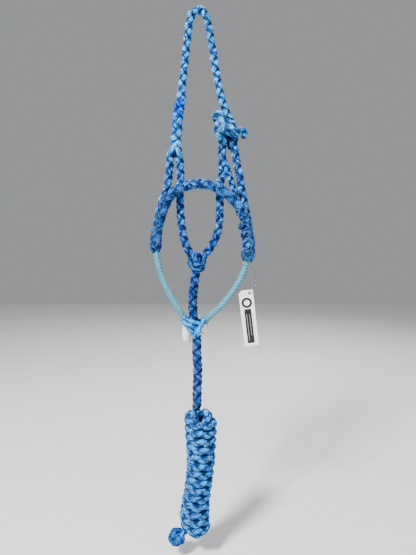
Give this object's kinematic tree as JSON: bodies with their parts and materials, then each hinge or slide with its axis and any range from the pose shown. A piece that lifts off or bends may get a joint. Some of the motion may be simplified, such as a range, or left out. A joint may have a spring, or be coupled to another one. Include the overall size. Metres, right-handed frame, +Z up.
{
  "type": "rope halter",
  "caption": "Braided rope halter with a lariat-cored noseband and an attached braided lead wound into a hank, hanging by its crown.",
  "frame": {"origin": "underside of the crown braid at its top, where a hook or a peg holds it", "axes": "+Z up, +X toward the tie-knot side, -Y toward the front of the halter as it hangs flat"},
  "size_m": [0.1781, 0.0523, 0.8873],
  "materials": {
    "blue_braid": "woven polyester tape, four-strand braid",
    "deep_blue_braid": "woven polyester tape, deeper blue",
    "blue_tape": "flat tape braided over a core",
    "aqua_lariat": "stiff laid rope, waxy",
    "white_whipping": "twine whipping",
    "clear_thread": "clear nylon loop",
    "white_card": null
  },
  "bodies": {
    "crown": {"crown_braid": "blue_braid", "left_split_knot": "blue_braid", "tie_eye_braid": "blue_braid", "tie_hitch": "blue_braid", "crown_tail": "blue_braid"},
    "face": {"left_cheek_braid": "blue_braid", "left_throat_braid": "blue_braid", "right_throat_braid": "blue_braid", "right_inner_cheek_braid": "blue_braid", "right_outer_cheek_braid": "blue_braid", "chin_knot": "blue_braid", "chin_braid": "deep_blue_braid", "junction_knot": "blue_braid", "noseband_cover": "blue_tape", "noseband_end_left": "blue_tape", "noseband_end_right": "blue_tape", "lariat_core": "aqua_lariat", "lariat_whipping_left": "white_whipping", "lariat_whipping_right": "white_whipping", "tag_fastener": "clear_thread"},
    "lead": {"lead_drop": "blue_braid"},
    "hank": {"lead_hank": "blue_braid", "lead_end_knot": "deep_blue_braid"},
    "tag": {"tag_card": "white_card"}
  },
  "joints": [
    {"name": "face_swing", "type": "hinge", "parent": "crown", "child": "face", "pos_m": [0.003, 0.0075, -0.222], "axis": [1, 0, 0], "range_deg": [-75, 75]},
    {"name": "lead_swing", "type": "hinge", "parent": "face", "child": "lead", "pos_m": [-0.008, -0.009, -0.508], "axis": [1, 0, 0], "range_deg": [-80, 80]},
    {"name": "hank_swing", "type": "hinge", "parent": "lead", "child": "hank", "pos_m": [-0.0084, -0.009, -0.631], "axis": [0, 1, 0], "range_deg": [-35, 35]},
    {"name": "tag_swing", "type": "hinge", "parent": "face", "child": "tag", "pos_m": [0.0773, -0.016, -0.438], "axis": [0, 1, 0], "range_deg": [-35, 35]}
  ]
}
